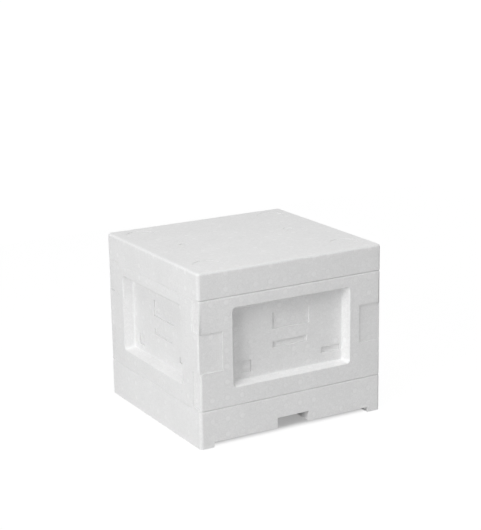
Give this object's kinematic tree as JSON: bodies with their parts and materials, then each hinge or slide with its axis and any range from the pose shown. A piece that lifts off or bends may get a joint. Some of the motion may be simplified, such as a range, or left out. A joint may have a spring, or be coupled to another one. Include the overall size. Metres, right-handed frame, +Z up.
{
  "type": "nuc box",
  "caption": "Foam mini hive: floor tray with feed trough and vent grille, brood body with hanging wooden frames, flat lift-off roof",
  "frame": {"origin": "Middle of the footprint, at the height of the ground", "axes": "+X runs along the side with the entrance, which faces -Y; +Z is up"},
  "size_m": [0.31, 0.29, 0.2595],
  "materials": {
    "foam": "moulded bead foam, matt",
    "frame_wood": "planed, unfinished",
    "grille_plastic": "moulded, matt",
    "wire_steel": "drawn wire"
  },
  "bodies": {
    "floor": {"floor_tray": "foam", "floor_grille": "grille_plastic"},
    "box": {"brood_body": "foam"},
    "cover": {"roof": "foam"},
    "frame_1": {"top_bar_1": "frame_wood", "side_bar_left_1": "frame_wood", "side_bar_right_1": "frame_wood", "bottom_bar_1": "frame_wood", "wires_1": "wire_steel"},
    "frame_2": {"top_bar_2": "frame_wood", "side_bar_left_2": "frame_wood", "side_bar_right_2": "frame_wood", "bottom_bar_2": "frame_wood", "wires_2": "wire_steel"},
    "frame_3": {"top_bar_3": "frame_wood", "side_bar_left_3": "frame_wood", "side_bar_right_3": "frame_wood", "bottom_bar_3": "frame_wood", "wires_3": "wire_steel"},
    "frame_4": {"top_bar_4": "frame_wood", "side_bar_left_4": "frame_wood", "side_bar_right_4": "frame_wood", "bottom_bar_4": "frame_wood", "wires_4": "wire_steel"},
    "frame_5": {"top_bar_5": "frame_wood", "side_bar_left_5": "frame_wood", "side_bar_right_5": "frame_wood", "bottom_bar_5": "frame_wood", "wires_5": "wire_steel"},
    "frame_6": {"top_bar_6": "frame_wood", "side_bar_left_6": "frame_wood", "side_bar_right_6": "frame_wood", "bottom_bar_6": "frame_wood", "wires_6": "wire_steel"}
  },
  "joints": [
    {"name": "body_lift", "type": "slide", "parent": "floor", "child": "box", "axis": [0, 0, 1], "range_m": [0, 0.114]},
    {"name": "roof_lift", "type": "slide", "parent": "box", "child": "cover", "axis": [0, 0, 1], "range_m": [0, 0.108]},
    {"name": "frame_1_shift", "type": "slide", "parent": "box", "child": "frame_1", "axis": [0, -1, 0], "range_m": [-0.0155, 0]},
    {"name": "frame_2_shift", "type": "slide", "parent": "box", "child": "frame_2", "axis": [0, -1, 0], "range_m": [-0.01292, 0]},
    {"name": "frame_3_shift", "type": "slide", "parent": "box", "child": "frame_3", "axis": [0, -1, 0], "range_m": [-0.01033, 0]},
    {"name": "frame_4_shift", "type": "slide", "parent": "box", "child": "frame_4", "axis": [0, -1, 0], "range_m": [-0.00775, 0]},
    {"name": "frame_5_shift", "type": "slide", "parent": "box", "child": "frame_5", "axis": [0, -1, 0], "range_m": [-0.00517, 0]},
    {"name": "frame_6_shift", "type": "slide", "parent": "box", "child": "frame_6", "axis": [0, -1, 0], "range_m": [-0.00258, 0]}
  ],
  "couplings": [
    {"joint": "frame_2_shift", "follows": "frame_1_shift", "ratio": 0.83333},
    {"joint": "frame_3_shift", "follows": "frame_1_shift", "ratio": 0.66667},
    {"joint": "frame_4_shift", "follows": "frame_1_shift", "ratio": 0.5},
    {"joint": "frame_5_shift", "follows": "frame_1_shift", "ratio": 0.33333},
    {"joint": "frame_6_shift", "follows": "frame_1_shift", "ratio": 0.16667}
  ]
}
